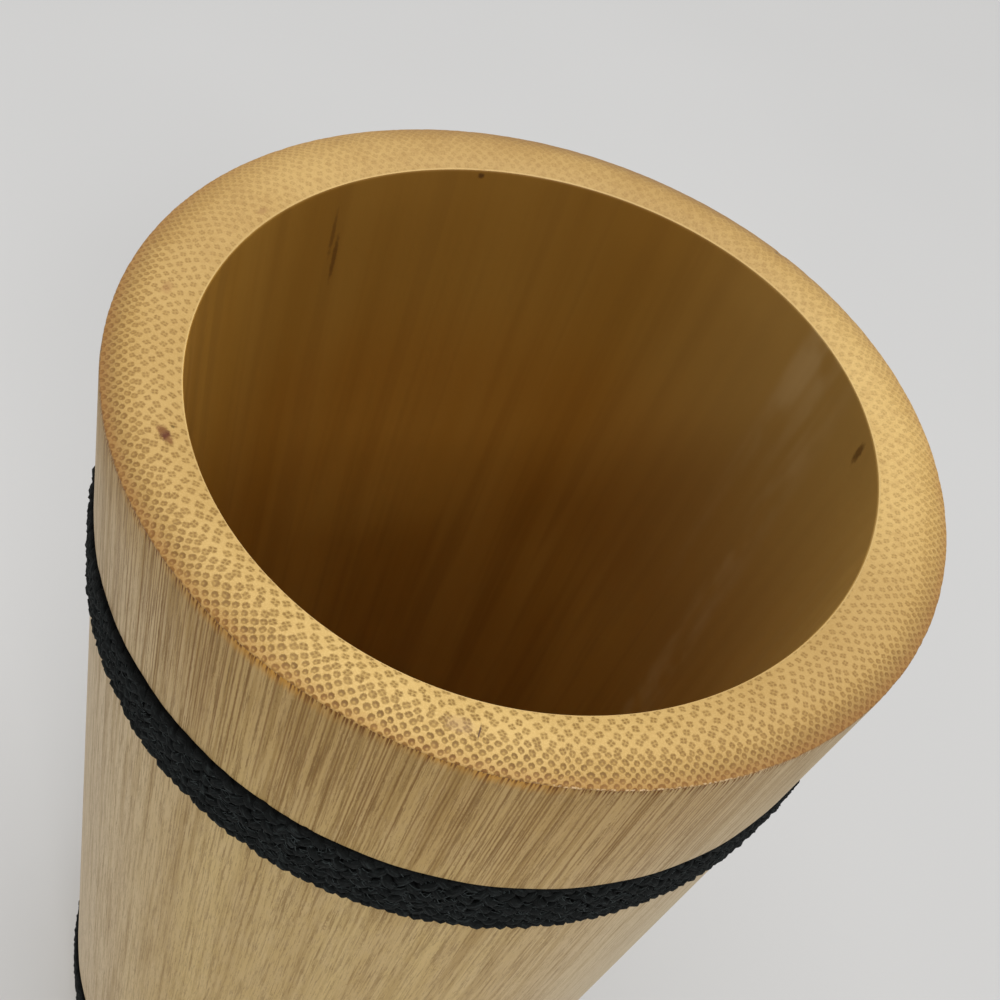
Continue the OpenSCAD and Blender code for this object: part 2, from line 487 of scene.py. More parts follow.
def add_coordinates(piece, name, values):
    """A named layer of surface coordinates that a finish can read."""
    corner = np.zeros(len(piece.data.loops), dtype=np.int32)
    piece.data.loops.foreach_get("vertex_index", corner)
    layer = piece.data.uv_layers.new(name=name)
    layer.data.foreach_set("uv", values[corner].ravel())


def make_cord(name, groove_z, finish, seed):
    draw = np.random.default_rng(seed)
    phase = draw.uniform(0, 1)
    points, faces, along, crown = [], [], [], []
    start = 0
    for k in range(STRANDS + CORES):
        strand_points, strand_along, strand_crown, n = make_strand(draw, k, groove_z, phase)
        points.append(strand_points)
        along.append(strand_along)
        crown.append(strand_crown)
        faces += tube_faces(start, n, STRAND_SIDES)
        start += n * STRAND_SIDES
    loose_points, loose_faces, shade, loose_crown = lying_fibres(draw, groove_z)
    points.append(loose_points)
    along.append(shade)
    crown.append(loose_crown)
    faces += (loose_faces + start).tolist()
    piece = new_piece(name, np.vstack(points), faces, [finish])
    add_coordinates(piece, "yarn", np.vstack(along))
    add_coordinates(piece, "crown", np.vstack(crown))
    return piece


class Value:
    """A number, colour or vector that varies over a surface. Operators on numbers add Math nodes."""

    def __init__(self, finish, socket):
        self.finish, self.socket = finish, socket

    def __add__(self, other):
        return self.finish.math("ADD", self, other)

    def __sub__(self, other):
        return self.finish.math("SUBTRACT", self, other)

    def __rsub__(self, other):
        return self.finish.math("SUBTRACT", other, self)

    def __mul__(self, other):
        return self.finish.math("MULTIPLY", self, other)

    def __truediv__(self, other):
        return self.finish.math("DIVIDE", self, other)

    def __rtruediv__(self, other):
        return self.finish.math("DIVIDE", other, self)

    def __mod__(self, other):
        return self.finish.math("MODULO", self, other)

    def __abs__(self):
        return self.finish.math("ABSOLUTE", self)

    __radd__ = __add__
    __rmul__ = __mul__


class Finish:
    """Nodes of a material or of the room, in its own tree."""

    def __init__(self, owner):
        self.owner = owner
        owner.use_nodes = True
        self.tree = owner.node_tree
        self.tree.nodes.clear()

    def node(self, kind, settings=None, inputs=None, output=0):
        """One node: its settings first, then the values or links of its sockets."""
        made = self.tree.nodes.new(kind)
        for key, value in (settings or {}).items():
            setattr(made, key, value)
        for key, value in (inputs or {}).items():
            socket = made.inputs[key]
            if isinstance(value, Value):
                self.tree.links.new(value.socket, socket)
            else:
                socket.default_value = value
        return made if output is None else Value(self, made.outputs[output])

    def math(self, operation, *terms):
        return self.node("ShaderNodeMath", {"operation": operation}, dict(enumerate(terms)))

    def length(self, x, y):
        """Distance from two lengths square to each other."""
        return self.math("SQRT", x * x + y * y)

    def vector(self, operation, *terms, output=0):
        return self.node("ShaderNodeVectorMath", {"operation": operation}, dict(enumerate(terms)), output)

    def step(self, value, low, high, to_low=0.0, to_high=1.0):
        """Smooth change from to_low to to_high as the value goes from low to high."""
        ends = {"From Min": low, "From Max": high, "To Min": to_low, "To Max": to_high}
        return self.node("ShaderNodeMapRange", {"interpolation_type": "SMOOTHSTEP"}, {"Value": value, **ends})

    def mix(self, factor, first, second):
        """Colour from first to second."""
        return self.node("ShaderNodeMix", {"data_type": "RGBA"}, {0: factor, 6: first, 7: second}, output=2)

    def tint(self, base, share, *tone):
        """A share of a tone, as it looks on a screen, laid over a colour."""
        return self.mix(share, base, colour(*tone))

    def place(self):
        """The point on the piece, in millimetres."""
        return self.vector("MULTIPLY", self.node("ShaderNodeTexCoord", output=3), (1000.0, 1000.0, 1000.0))

    def split(self, vector):
        parts = self.node("ShaderNodeSeparateXYZ", None, {0: vector}, output=None)
        return [Value(self, out) for out in parts.outputs]

    def join(self, x, y, z):
        return self.node("ShaderNodeCombineXYZ", None, {0: x, 1: y, 2: z})

    def noise(self, where, scale, detail, roughness=0.5, stretch=(1.0, 1.0, 1.0)):
        stretched = self.vector("MULTIPLY", where, stretch)
        return self.node("ShaderNodeTexNoise", None,
                         {"Vector": stretched, "Scale": scale, "Detail": detail, "Roughness": roughness})

    def draws(self, a, b, c):
        """Three random numbers for a cell."""
        cell = {"Vector": self.join(a, b, c)}
        return self.split(self.node("ShaderNodeTexWhiteNoise", {"noise_dimensions": "3D"}, cell, output=1))

    def bump(self, height, distance, strength):
        sockets = {"Strength": strength, "Distance": distance * MM, "Height": height}
        return self.node("ShaderNodeBump", None, sockets)

    def surface(self, **sockets):
        named = {key.replace("_", " "): value for key, value in sockets.items()}
        shader = self.node("ShaderNodeBsdfPrincipled", None, named)
        self.node("ShaderNodeOutputMaterial", None, {"Surface": shader}, output=None)
        return self.owner


def new_finish(name):
    """An empty material of a piece."""
    return Finish(bpy.data.materials.new(name))


def colour(red, green, blue):
    """A colour as it looks on a screen, 0 to 255, as the linear one that a shader takes."""
    linear = [((c / 255 + 0.055) / 1.055) ** 2.4 if c > 10 else c / 255 / 12.92 for c in (red, green, blue)]
    return (*linear, 1.0)


# Tone of painted shade on the end grain.
SHADE_TISSUE = (146, 106, 54)   # tone of the end grain's duller stretches


def oval_lines(x, y, radius, mean, lobes):
    """The grown radius in the direction of a point."""
    c, s = x / radius, y / radius
    two_c, two_s, three_c, three_s = lobes
    return mean * (1.0 + two_c * (2.0 * c * c - 1.0) + two_s * 2.0 * (s * c)
                   + three_c * (4.0 * c * c * c - 3.0 * c) + three_s * (3.0 * s - 4.0 * s * s * s))


FIRST_ROW = 0.43      # depth of a row of bundles at the skin
ROW_GROWTH = 0.075    # how much deeper a row gets with each millimetre inwards
SKIN_COUNT = 260      # bundles in each row near the skin
FEWER_INSIDE = 82     # how many fewer a row has further in, where they grow wider apart
WIDER_FROM = 2.6      # after how many pairs of rows that is
DENSE_AT = math.radians(-20)   # the bundles stand closest in this direction and the opposite one
DENSER = 0.10         # share by which they stand closer there


def column_of(f, x, y, count, offset):
    """Which bundle of a row lies in this direction from the axis, and how far off its middle."""
    turn = f.math("ARCTAN2", y, x) / (2 * math.pi) + 0.5
    sway = f.noise(f.join(x + 31.0, y + 17.0, 5.0), 0.22, 1.0) - 0.5
    crowd = f.math("SINE", 2.0 * (2 * math.pi) * turn - 2.0 * DENSE_AT) * (DENSER / (4 * math.pi))
    turned = (turn + crowd + sway * 0.0035) * count + offset
    column = f.math("FLOOR", turned)
    return column % count, turned - column - 0.5


def bundle_place(f, x, y, radius, rows, row_size, inner, shift):
    """A point's place in its own bundle, turned as the bundle leans, and the bundle's two tones."""
    pair = rows * 0.5 + shift
    row = f.math("FLOOR", pair)
    up = pair - row - 0.5
    count = SKIN_COUNT - FEWER_INSIDE * f.math("GREATER_THAN", row - shift, WIDER_FROM)
    column, over = column_of(f, x, y, count, shift)
    size, shift_x, shift_y = f.draws(column, row, 4.0 + shift)
    tone, lean, pale = f.draws(column, row, 9.0 + shift)
    loose = 0.12 + 0.14 * inner
    half_wide = 0.315 + 0.06 * size + 0.11 * inner
    half_tall = 0.275 + 0.06 * size + 0.13 * inner
    flat_x = over * (2 * math.pi * radius / count) - (shift_x - 0.5) * loose
    flat_y = up * (2.0 * row_size) - (shift_y - 0.5) * loose
    turned = (lean - 0.5) * 1.5
    c, s = f.math("COSINE", turned), f.math("SINE", turned)
    return (flat_x * c - flat_y * s) / half_wide, (flat_x * s + flat_y * c) / half_tall, tone, pale


def fibre_cap(f, dx, dy, body):
    """Near the skin a bundle is a dark cap of fibres round a small pale spot."""
    eye = 1.0 - f.step(f.length(dx, dy + 0.28), 0.08, 0.52)
    return body * (1.0 - 0.85 * eye) * f.step(dy, -1.1, 0.5, 0.50, 1.0)


def fibre_dots(f, dx, dy, pale, fine, body):
    """Further in its fibres are four separate dots round the vessels."""
    side_dot = f.length(abs(dx) - (0.50 + 0.16 * pale), dy)
    end_dot = f.length(dx, abs(dy) - (0.66 - 0.12 * pale))
    dots = 1.0 - f.step(f.math("MINIMUM", side_dot, end_dot) + (fine - 0.5) * 0.7, 0.10, 0.60)
    return f.math("MAXIMUM", dots * 0.84, body * 0.28)


def bundle_rows(f, x, y, radius, rows, row_size, inner, fine, shift):
    """Every second row of vascular bundles: how much of a bundle is at a point, and how dark it is."""
    dx, dy, tone, pale = bundle_place(f, x, y, radius, rows, row_size, inner, shift)
    body = 1.0 - f.step(f.length(dx, dy) + (fine - 0.5) * 0.5, 0.70, 1.10)
    cap = fibre_cap(f, dx, dy, body)
    dots = fibre_dots(f, dx, dy, pale, fine, body)
    return body, (cap + (dots - cap) * inner) * (0.74 + 0.26 * tone)


def both_bundle_rows(f, here, x, y, radius, depth, from_lip, turn, fine):
    """All the bundles of the end grain: body, darkness, and how far in from the skin a point is."""
    wander = f.noise(here, 0.17, 1.5) - 0.5
    deep = f.math("MAXIMUM", depth + 0.12 + wander * 0.9, 0.0)
    packed = deep * (1.0 + DENSER * f.math("COSINE", 2.0 * (turn - DENSE_AT)))
    row_size = FIRST_ROW + ROW_GROWTH * packed
    rows = f.math("LOGARITHM", 1.0 + packed * (ROW_GROWTH / FIRST_ROW), math.e) / ROW_GROWTH
    inner = f.step(deep, 0.8, 5.0)
    one_body, one_dark = bundle_rows(f, x, y, radius, rows, row_size, inner, fine, 0.0)
    other_body, other_dark = bundle_rows(f, x, y, radius, rows, row_size, inner, fine, 0.5)
    # The grain is plainest at the front, and fainter towards the back
    soft = 1.0 - 0.64 * f.step(y, -34.0, 24.0)
    present = f.step(from_lip, 0.05, 0.30) * f.step(deep, 0.0, 8.0, 1.0, 0.86) * soft
    body = f.math("MAXIMUM", one_body, other_body) * present
    dark = f.math("MAXIMUM", one_dark, other_dark) * present
    return body, dark, inner


def ground_tissue(f, here, fine, inner):
    """The mottled tissue between the bundles, paler further in: partly its own tone, partly painted light on
    the crown's inner half.
    """
    patch = f.noise(here, 0.09, 3.0, 0.6)
    ground = f.mix(f.step(patch, 0.35, 0.65), colour(207, 169, 97), colour(193, 153, 80))
    ground = f.tint(ground, f.step(fine, 0.38, 0.66) * 0.5, 229, 195, 126)
    # Paler further in: partly the tissue's own tone, partly painted light, the crown's inner half lit more
    # than its outer slope.
    return f.tint(ground, inner * 0.32, 237, 204, 135)


def dull_places(f, here, x, y, turn, drift, tissue):
    """Blotches towards the back, and darker stretches of the rim: painted shade towards the back, at the
    front right and at the back left, and painted light with some of the tissue's own tone in three directions
    round it.
    """
    blotch = f.noise(here, 0.9, 3.0, 0.65)
    tissue = f.tint(tissue, f.step(blotch, 0.46, 0.68) * f.step(y, -22.0, 12.0) * 0.26, 160, 120, 62)
    # Painted light, partly the tissue's own tone: duller in three directions round the rim.
    tissue = f.tint(tissue, drift * 0.40, 154, 115, 56)
    # Painted shade: darker towards the back, at the front right and at the back left.
    tissue = f.tint(tissue, f.step(y, 8.0, 46.0) * 0.16, *SHADE_TISSUE)
    tissue = f.tint(tissue, f.step(x, 22.0, 42.0) * f.step(y, 6.0, -12.0) * 0.14, *SHADE_TISSUE)
    back_left_shade = f.step(f.math("COSINE", turn - math.radians(152)), 0.60, 0.98)
    return f.tint(tissue, back_left_shade * 0.30, *SHADE_TISSUE)


def darker_skin(f, here, y, depth, drift, tissue):
    """The fibres close up and darken towards the skin: the tissue, and how near the skin a point is."""
    ragged_depth = depth + (f.noise(here, 1.3, 2.0) - 0.5) * 1.0
    closing = 1.0 - f.step(ragged_depth, 0.3, 3.2)
    # The closing up darkens the tissue itself; it is weaker towards the front, which is painted light.
    tissue = f.tint(tissue, closing * (0.1 + 0.9 * drift) * 0.44, 112, 76, 36)
    near_skin = (1.0 - f.step(ragged_depth, 0.0, 1.6)) * f.step(y, 40.0, 0.0, 0.5, 1.0)
    return f.tint(tissue, near_skin * 0.26, 160, 98, 50), near_skin


# Partly painted light, partly the end grain's own tone: duller in three directions a third of a turn apart,
# brightest between them, as at the front.
DULL_AT = 90.0        # one of three directions in which the end grain is a little duller, in degrees
# Painted highlight: between these two distances to the right the arris is painted pale for the light it
# catches.
PALE_FROM = 11.0      # the arris is pale between these two distances to the right, in millimetres
PALE_TO = 31.0


def painted_edge_highlights(f, here, x, y, depth, from_lip, tissue):
    """Painted highlights: a broken light line along part of the arris, and a pale band round the lip, where
    the edges catch the light.
    """
    broken = f.noise(here, 2.4, 2.0, 0.6)
    to_right = f.step(x, PALE_FROM, PALE_FROM + 7.0) * f.step(x, PALE_TO + 6.0, PALE_TO)
    front = f.step(y, -18.0, -40.0) * to_right
    # Painted highlight along the arris at the front right.
    line = (1.0 - f.step(abs(depth - 0.06), 0.015, 0.085)) * f.step(broken, 0.46, 0.60) * front
    tissue = f.tint(tissue, line * 0.65, 242, 212, 168)
    # Painted highlight: a pale band round the lip.
    lip = 1.0 - f.step(from_lip, 0.10, 0.34)
    return f.tint(tissue, lip * 0.7, 232, 198, 132)


# Stains on the end grain: direction in degrees, distance from the axis and reach in millimetres
Stain = namedtuple("Stain", "turn out along across tone strength")
STAINS = (Stain(turn=-140.3, out=44.9, along=1.15, across=0.75, tone=(92, 40, 8), strength=1.0),
          Stain(turn=-141.2, out=45.1, along=0.95, across=0.70, tone=(126, 80, 30), strength=0.9),
          Stain(turn=-139.3, out=44.6, along=0.80, across=0.55, tone=(130, 84, 36), strength=0.8),
          Stain(turn=-141.7, out=43.9, along=0.32, across=0.32, tone=(104, 80, 24), strength=0.8),
          Stain(turn=-84.4, out=46.0, along=2.1, across=1.2, tone=(176, 142, 108), strength=0.32),
          Stain(turn=-82.0, out=46.1, along=0.13, across=1.1, tone=(92, 64, 44), strength=0.95),
          Stain(turn=-167.7, out=45.4, along=1.3, across=0.8, tone=(158, 112, 62), strength=0.5),
          Stain(turn=168.0, out=42.4, along=1.2, across=0.6, tone=(150, 106, 58), strength=0.5),
          Stain(turn=64.8, out=49.2, along=0.9, across=0.5, tone=(70, 60, 48), strength=0.8))


def towards(degrees):
    """Unit vectors out from the axis in a direction, and square to it."""
    angle = math.radians(degrees)
    return (math.cos(angle), math.sin(angle), 0.0), (-math.sin(angle), math.cos(angle), 0.0)


def ragged_spot(f, a, b, ragged):
    """A spot with an uneven edge, from two distances as shares of its reach."""
    return 1.0 - f.step(f.length(a, b) + ragged - 0.6, 0.3, 1.0)


def marks_on_grain(f, here, tissue):
    """Small stains and a short check that the end grain has."""
    ragged = f.noise(here, 2.2, 3.0, 0.7) * 1.2
    for stain in STAINS:
        outward, beside = towards(stain.turn)
        a = f.vector("DOT_PRODUCT", here, beside, output=1) / stain.along
        b = (f.vector("DOT_PRODUCT", here, outward, output=1) - stain.out) / stain.across
        tissue = f.tint(tissue, ragged_spot(f, a, b, ragged) * stain.strength, *stain.tone)
    return tissue


def end_grain():
    """Sawn and sanded end of the culm: ground tissue with vascular bundles in rows."""
    f = new_finish("end_grain")
    here = f.place()
    x, y, _ = f.split(here)
    radius = f.length(x, y)
    depth = oval_lines(x, y, radius, RIM_R, OUTSIDE_OVAL) - radius
    from_lip = radius - oval_lines(x, y, radius, BORE_R, HOLLOW_OVAL)
    turn = f.math("ARCTAN2", y, x)
    fine = f.noise(here, 5.0, 3.0, 0.7)
    body, dark, inner = both_bundle_rows(f, here, x, y, radius, depth, from_lip, turn, fine)
    tissue = ground_tissue(f, here, fine, inner)
    tissue = f.tint(tissue, body * (0.56 - 0.26 * inner), 180, 141, 66)
    tissue = f.tint(tissue, dark, 112, 76, 5)
    # Painted light, partly the tissue's own tone: duller in three directions, brightest between them, as at
    # the front.
    drift = 0.5 + 0.5 * f.math("COSINE", (turn - math.radians(DULL_AT)) * 3.0)
    tissue = dull_places(f, here, x, y, turn, drift, tissue)
    tissue, near_skin = darker_skin(f, here, y, depth, drift, tissue)
    tissue = painted_edge_highlights(f, here, x, y, depth, from_lip, tissue)
    tissue = marks_on_grain(f, here, tissue)
    relief = f.bump(fine * 0.3 - dark * 0.8 - near_skin * 0.2, 0.07, 0.8)
    return f.surface(Base_Color=tissue, Roughness=0.50 - 0.08 * dark + 0.1 * fine, Normal=relief,
                     Specular_IOR_Level=0.3, Coat_Weight=0.10, Coat_Roughness=0.35)


def side_wood(f, here, x, below):
    """Ground colour of the side: warmer near the cut end, and paler lower down; paler to both sides, more so
    lower down, and paler still at the left and the right, which is painted sheen where the side is seen at a
    grazing angle.
    """
    broad = f.noise(here, 0.16, 2.0, 0.5, (1.0, 1.0, 0.035))
    mottle = f.noise(here, 0.5, 3.0, 0.6, (1.0, 1.0, 0.3))
    lower = f.step(below, 0.5, 42.0)
    grazing_sheen = f.step(abs(x), 12.0, 44.0)
    base = f.mix(f.step(broad, 0.3, 0.7), colour(207, 179, 122), colour(193, 163, 107))
    base = f.tint(base, f.step(mottle, 0.35, 0.7) * 0.35, 208, 182, 138)
    base = f.tint(base, (1.0 - lower) * 0.46, 168, 126, 58)
    # Painted sheen: paler to both sides, more so lower down.
    base = f.tint(base, grazing_sheen * (0.26 + 0.34 * lower), 202, 184, 160)
    # Painted sheen: paler still at the left and the right.
    left_sheen = f.step(x, -14.0, -46.0) * f.step(below, 1.0, 12.0)
    base = f.tint(base, left_sheen * 0.46, 224, 206, 176)
    return f.tint(base, f.step(x, 24.0, 42.0) * 0.40, 204, 192, 164), mottle


def cut_bundles(f, x, y, below, wobble, front, ragged, base):
    """Bundles cut along their length: ragged ends under the arris that run out into soft lines."""
    column, over = column_of(f, x, y, 3 * SKIN_COUNT, 0.5)
    length, tone, shift = f.draws(column, 1.0, 2.0)
    off = abs(over - (shift - 0.5) * 0.6 + wobble * 0.3)
    spread = 0.08 + 0.14 * tone
    reach = 1.0 - f.step(below + ragged * 2.6, 0.1, 0.5 + 2.6 * length * length)
    tooth = (1.0 - f.step(off, spread, spread + 0.22)) * reach
    fading = 1.0 - f.step(below, 3.0 + 12.0 * tone, 16.0 + 24.0 * tone)
    line = (1.0 - f.step(off, 0.0, 0.42)) * fading
    base = f.tint(base, line * f.step(tone, 0.3, 0.8) * (0.15 + 0.55 * front), 120, 82, 26)
    return base, tooth, line


def golden_edge(f, here, x, below, fringe, ragged, base):
    """Oil that soaked in under the arris, in the middle of the front."""
    warmer_here = f.step(f.noise(here, 0.11, 1.0), 0.42, 0.58)
    middle = f.step(x, 20.0, 11.0) * f.step(x, -30.0, -12.0, 0.4, 1.0)
    golden = (1.0 - f.step(below + ragged * 2.0, 0.1, 2.4)) * (0.3 + 0.65 * warmer_here) * fringe * middle
    return f.tint(base, golden * 0.85, 200, 142, 50)


def planed_side():
    """The outside with its skin planed off: pale tissue with brown fibre strands along it."""
    f = new_finish("planed_side")
    here = f.place()
    x, y, z = f.split(here)
    below = ARRIS_Z - z
    wobble = f.noise(here, 1.7, 3.0, 0.7, (1.0, 1.0, 0.8)) - 0.5
    bent = f.join(x + wobble * 0.22, y - wobble * 0.22, z)
    strand = f.noise(bent, 1.15, 4.0, 0.68, (1.0, 1.0, 0.018))
    thread = f.noise(bent, 3.4, 4.0, 0.72, (1.0, 1.0, 0.024))
    fleck = f.noise(here, 6.0, 2.0, 0.6, (1.0, 1.0, 0.07))
    ragged = f.noise(bent, 3.4, 3.0, 0.65, (1.0, 1.0, 0.06)) - 0.5
    front = f.step(y, -10.0, -44.0) * f.step(x, 44.0, 22.0, 0.35, 1.0)
    clear = f.step(below, 12.0, 70.0, 1.0, 0.65) * (0.5 + 0.5 * front)
    fringe = 0.22 + 0.78 * front
    base, mottle = side_wood(f, here, x, below)
    base = f.tint(base, f.step(strand, 0.46, 0.62) * 0.50 * clear, 142, 108, 46)
    base = f.tint(base, f.step(thread, 0.49, 0.62) * 0.62 * clear, 116, 82, 28)
    base = f.tint(base, f.step(fleck, 0.54, 0.70) * (0.20 + 0.2 * front), 120, 90, 50)
    base, tooth, line = cut_bundles(f, x, y, below, wobble, front, ragged, base)
    base = golden_edge(f, here, x, below, fringe, ragged, base)
    base = f.tint(base, tooth * fringe, 112, 68, 10)
    relief = f.bump(strand * 0.6 + thread * 0.5 + fleck * 0.25 - tooth * 0.4 - line * 0.3, 0.10, 0.7)
    return f.surface(Base_Color=base, Roughness=0.62 + 0.12 * mottle, Normal=relief, Specular_IOR_Level=0.28)


# Marks in the hollow: direction in degrees, height below the arris and reach in millimetres
Scar = namedtuple("Scar", "turn below along tall tone strength")
HOLLOW_MARKS = (Scar(turn=150.3, below=8.0, along=0.45, tall=5.4, tone=(96, 62, 22), strength=0.6),
                Scar(turn=148.9, below=13.0, along=0.50, tall=5.6, tone=(92, 58, 20), strength=0.7),
                Scar(turn=23.8, below=3.6, along=0.9, tall=2.6, tone=(84, 52, 20), strength=0.7),
                Scar(turn=121.1, below=0.9, along=0.6, tall=0.6, tone=(76, 46, 20), strength=0.8))


def wall_tones(f, here, x, y, z, base):
    """Darker stretches near the mouth; painted shade half way down the back; and a paler right wall with pale
    streaks down it, which are painted sheen and a painted reflection.
    """
    near_mouth = f.step(z, ARRIS_Z - 75.0, ARRIS_Z - 5.0) * f.step(y, -20.0, 25.0)
    base = f.tint(base, near_mouth * 0.75, 130, 91, 32)
    # Painted shade: half way down the back the wall is a little darker and redder
    halfway_shade = f.step(z, ARRIS_Z - 18.0, ARRIS_Z - 42.0) * f.step(z, ARRIS_Z - 84.0, ARRIS_Z - 58.0)
    base = f.tint(base, halfway_shade * f.step(y, -5.0, 22.0) * 0.38, 142, 86, 16)
    # Painted sheen: the right wall is paler.
    right = f.step(x, 4.0, 38.0) * f.step(z, ARRIS_Z - 130.0, ARRIS_Z - 30.0)
    base = f.tint(base, right * 0.5, 198, 162, 92)
    # A painted reflection down the right lies in broken streaks that lean a little
    turn = f.math("ARCTAN2", y, x) * (180 / math.pi)
    reflection_noise = f.noise(f.join(x, y, z * 0.06 + 40.0), 0.20, 2.0, 0.5)
    patchy = f.noise(here, 0.16, 2.0, 0.6, (1.0, 1.0, 0.5))
    band = 1.0 - f.step(abs(turn - (0.13 * (z - ARRIS_Z) + 43.5)), 2.0, 12.0)
    broken = f.step(reflection_noise, 0.40, 0.60) * f.step(patchy, 0.34, 0.60)
    return f.tint(base, band * broken * 0.34, 214, 186, 136)


def marks_in_hollow(f, here, z, base):
    """Dark stains and scars near the mouth."""
    ragged = f.noise(here, 1.1, 3.0, 0.7) * 1.2
    for mark in HOLLOW_MARKS:
        outward, beside = towards(mark.turn)
        a = f.vector("DOT_PRODUCT", here, beside, output=1) / mark.along
        b = (z - (ARRIS_Z - mark.below)) / mark.tall
        same_side = f.step(f.vector("DOT_PRODUCT", here, outward, output=1), 20.0, 30.0)
        spot = ragged_spot(f, a, b, ragged)
        base = f.tint(base, spot * same_side * mark.strength, *mark.tone)
    return base


def lacquered_hollow():
    """The grown inside wall under a warm satin lacquer, and the rougher diaphragm."""
    f = new_finish("lacquered_hollow")
    here = f.place()
    x, y, z = f.split(here)
    broad = f.noise(here, 0.07, 2.0, 0.5, (1.0, 1.0, 0.10))
    streak = f.noise(here, 0.35, 2.0, 0.55, (1.0, 1.0, 0.03))
    fibre = f.noise(here, 1.8, 2.0, 0.6, (1.0, 1.0, 0.012))
    base = f.mix(f.step(broad, 0.30, 0.70), colour(192, 145, 62), colour(178, 129, 48))
    base = f.tint(base, f.step(streak, 0.42, 0.66) * 0.36, 146, 102, 38)
    base = f.tint(base, f.step(fibre, 0.45, 0.75) * 0.11, 196, 150, 70)
    base = wall_tones(f, here, x, y, z, base)
    # The diaphragm at the bottom is matte, with a darker ring where it joins the wall
    bottom = 1.0 - f.step(z, FLOOR_Z + FLOOR_DISH + 1.0, FLOOR_Z + FLOOR_DISH + FLOOR_FILLET)
    pith = f.noise(here, 0.5, 4.0, 0.65)
    base = f.tint(base, bottom * f.step(pith, 0.35, 0.7) * 0.6, 206, 164, 92)
    base = f.tint(base, bottom * f.step(f.length(x, y), 30.0, 36.0) * 0.5, 112, 74, 30)
    base = marks_in_hollow(f, here, z, base)
    relief = f.bump(streak * 0.6 + fibre * 0.25 + pith * bottom * 1.5, 0.12, 0.4)
    return f.surface(Base_Color=base, Roughness=0.42 + 0.1 * streak + 0.3 * bottom, Normal=relief,
                     Specular_IOR_Level=0.35, Coat_Weight=0.25 - 0.25 * bottom, Coat_Roughness=0.30)


def sawn_foot():
    """Underside: sawn ring and the diaphragm's lower face."""
    f = new_finish("sawn_foot")
    here = f.place()
    x, y, _ = f.split(here)
    cells = {"Vector": here, "Scale": 1.15, "Randomness": 0.75}
    dots = f.node("ShaderNodeTexVoronoi", {"feature": "F1"}, cells)
    ring = f.step(dots, 0.16, 0.42)
    patch = f.noise(here, 0.12, 3.0)
    base = f.mix(ring, colour(150, 112, 62), colour(206, 172, 112))
    papery = f.mix(f.noise(here, 0.8, 4.0, 0.65), colour(176, 146, 96), colour(208, 182, 132))
    base = f.mix(f.step(f.length(x, y), RECESS_R - 1.0, RECESS_R), papery, base)
    base = f.tint(base, f.step(patch, 0.4, 0.7) * 0.3, 170, 136, 84)
    relief = f.bump(ring * 0.5 + patch, 0.15, 0.6)
    return f.surface(Base_Color=base, Roughness=0.68, Normal=relief, Specular_IOR_Level=0.25)


def cord_yarn():
    """Near-black spun yarn, soft and slightly fluffy, with painted highlights on the strands' crowns, the
    lint and the loose fibres, and painted shade in the pits between strands and on the core yarns.
    """
    f = new_finish("cord_yarn")
    u, v, _ = f.split(f.node("ShaderNodeUVMap", {"uv_map": "yarn"}))
    rise = f.split(f.node("ShaderNodeUVMap", {"uv_map": "crown"}))[0]
    here = f.place()
    twist = f.math("SINE", (v * 8.0 + u * 0.7) * 2 * math.pi)
    fluff = f.noise(here, 3.2, 4.0, 0.7)
    lint_glints = f.noise(f.join(u * 0.9, v * 11.0, 0.0), 1.0, 4.0, 0.7)
    tone = f.noise(here, 0.7, 2.0)
    top = f.step(rise + (fluff - 0.5) * 1.1, 0.10, 1.0)
    pit_shade = 1.0 - f.step(rise + (fluff - 0.5) * 0.6, -0.25, 0.25)
    loose_fibre = f.step(rise, 1.15, 1.35)
    base = f.mix(f.step(twist, -0.9, 0.9) * 0.3, colour(4, 5, 5), colour(9, 10, 10))
    # Painted highlight: the crowns of the strands are lighter.
    base = f.tint(base, top * 0.9, 26, 29, 29)
    # Lint, lighter mostly on the crowns: painted highlight.
    base = f.tint(base, f.step(lint_glints, 0.51, 0.63) * (0.04 + 0.85 * top), 50, 55, 55)
    base = f.tint(base, f.step(tone, 0.4, 0.7) * 0.35, 7, 8, 8)
    # Painted shade in the pits between strands, which also covers the core yarns.
    base = f.tint(base, pit_shade * 0.85, 1, 1, 1)
    # The loose fibres are lighter: partly painted highlight.
    base = f.tint(base, loose_fibre * (0.25 + 0.75 * u), 74, 81, 81)
    relief = f.bump(twist * 0.2 + fluff * 1.4 + lint_glints * 0.8, 0.18, 0.9)
    return f.surface(Base_Color=base, Roughness=0.82, Normal=relief, Specular_IOR_Level=0.10,
                     Sheen_Weight=0.012, Sheen_Roughness=0.5)


BACKDROP = colour(211, 211, 209)   # the room behind
FLOOR_FADE = (700.0, 2200.0)       # from where to where the floor runs out into it, in millimetres
FLOOR_REACH = 6.0                  # from the vase to the floor's edges, in metres
ROOM_LIGHT = (1.0, 0.99, 0.97, 1.0)
ROOM_STRENGTH = 0.55


def pale_floor():
    """Plain pale floor that runs out into an even backdrop when looked at."""
    f = new_finish("pale_floor")
    here = f.place()
    x, y, _ = f.split(here)
    base = f.mix(f.noise(here, 0.004, 2.0), colour(200, 200, 200), colour(208, 208, 208))
    matte = {"Base Color": base, "Roughness": 0.8, "Specular IOR Level": 0.2}
    near = f.node("ShaderNodeBsdfPrincipled", None, matte)
    far = f.node("ShaderNodeEmission", None, {"Color": BACKDROP})
    seen = f.node("ShaderNodeLightPath", output="Is Camera Ray")
    run_out = seen * f.step(f.length(x, y), *FLOOR_FADE)
    both = f.node("ShaderNodeMixShader", None, {0: run_out, 1: near, 2: far})
    f.node("ShaderNodeOutputMaterial", None, {"Surface": both}, output=None)
    return f.owner


